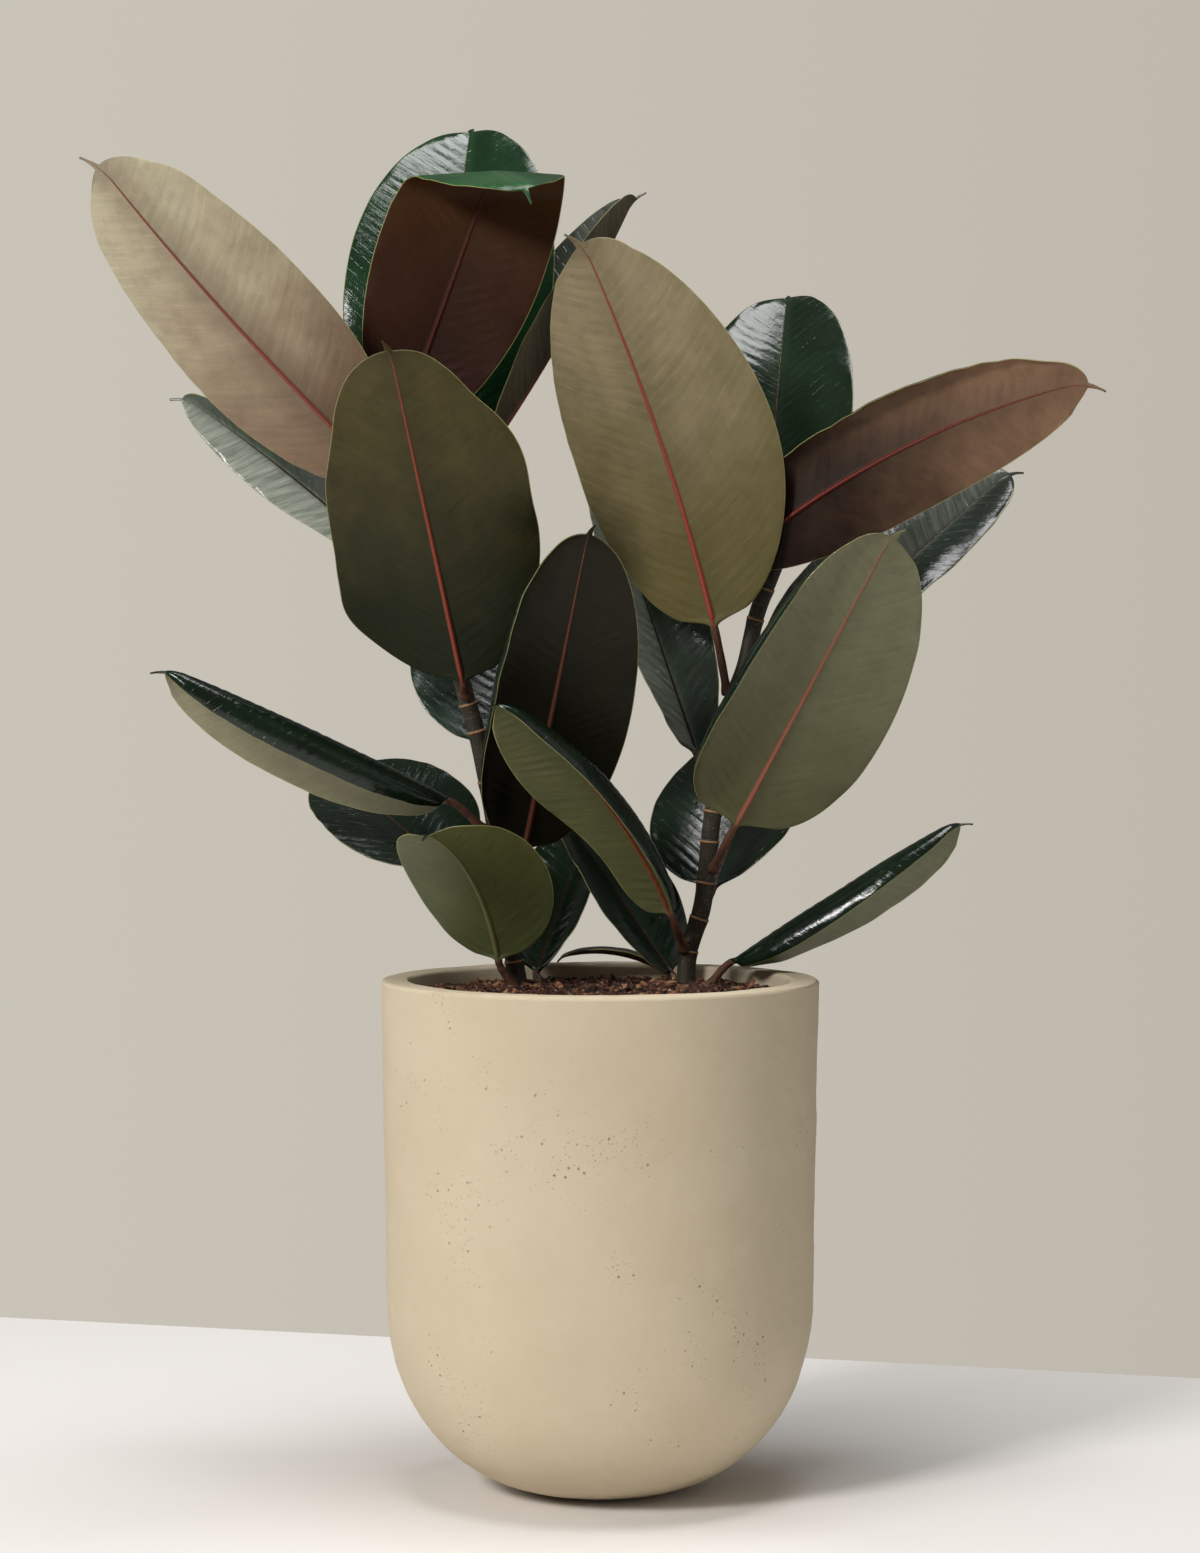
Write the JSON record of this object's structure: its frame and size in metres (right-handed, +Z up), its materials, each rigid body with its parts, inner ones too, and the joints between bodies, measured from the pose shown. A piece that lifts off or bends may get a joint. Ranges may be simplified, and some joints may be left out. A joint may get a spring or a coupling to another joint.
{
  "type": "potted rubber plant",
  "caption": "Broad-leaved evergreen houseplant on slender upright stems, rooted in potting mix in a straight-sided planter with a deeply rounded bottom.",
  "frame": {"origin": "centre of the planter's flat foot, on the surface it stands on", "axes": "+Z up along the planter's axis; +X to the right and -Y towards the viewer when the two leaf crowns stand side by side"},
  "size_m": [0.6875, 0.346, 0.9528],
  "materials": {
    "cast_stone": "matte cast stone with fine pits",
    "potting_mix": "loose dark potting mix",
    "stem_bark": "satin young bark",
    "leaf_olive": "satin underside",
    "leaf_taupe": "satin underside",
    "leaf_maroon": "satin underside",
    "leaf_green": "glossy upper face"
  },
  "bodies": {
    "root": {"pot": "cast_stone", "potting_mix": "potting_mix", "stem_left": "stem_bark", "stem_right": "stem_bark", "leaf_01": "leaf_taupe", "leaf_02": "leaf_maroon", "leaf_03": "leaf_olive", "leaf_04": "leaf_green", "leaf_05": "leaf_green", "leaf_06": "leaf_green", "leaf_07": "leaf_olive", "leaf_08": "leaf_green", "leaf_09": "leaf_olive", "leaf_10": "leaf_olive", "leaf_11": "leaf_olive", "leaf_12": "leaf_green", "leaf_13": "leaf_taupe", "leaf_14": "leaf_green", "leaf_15": "leaf_maroon", "leaf_16": "leaf_green", "leaf_17": "leaf_olive", "leaf_18": "leaf_green", "leaf_19": "leaf_green", "leaf_20": "leaf_olive", "leaf_21": "leaf_green", "leaf_22": "leaf_green", "leaf_23": "leaf_green"}
  },
  "joints": []
}
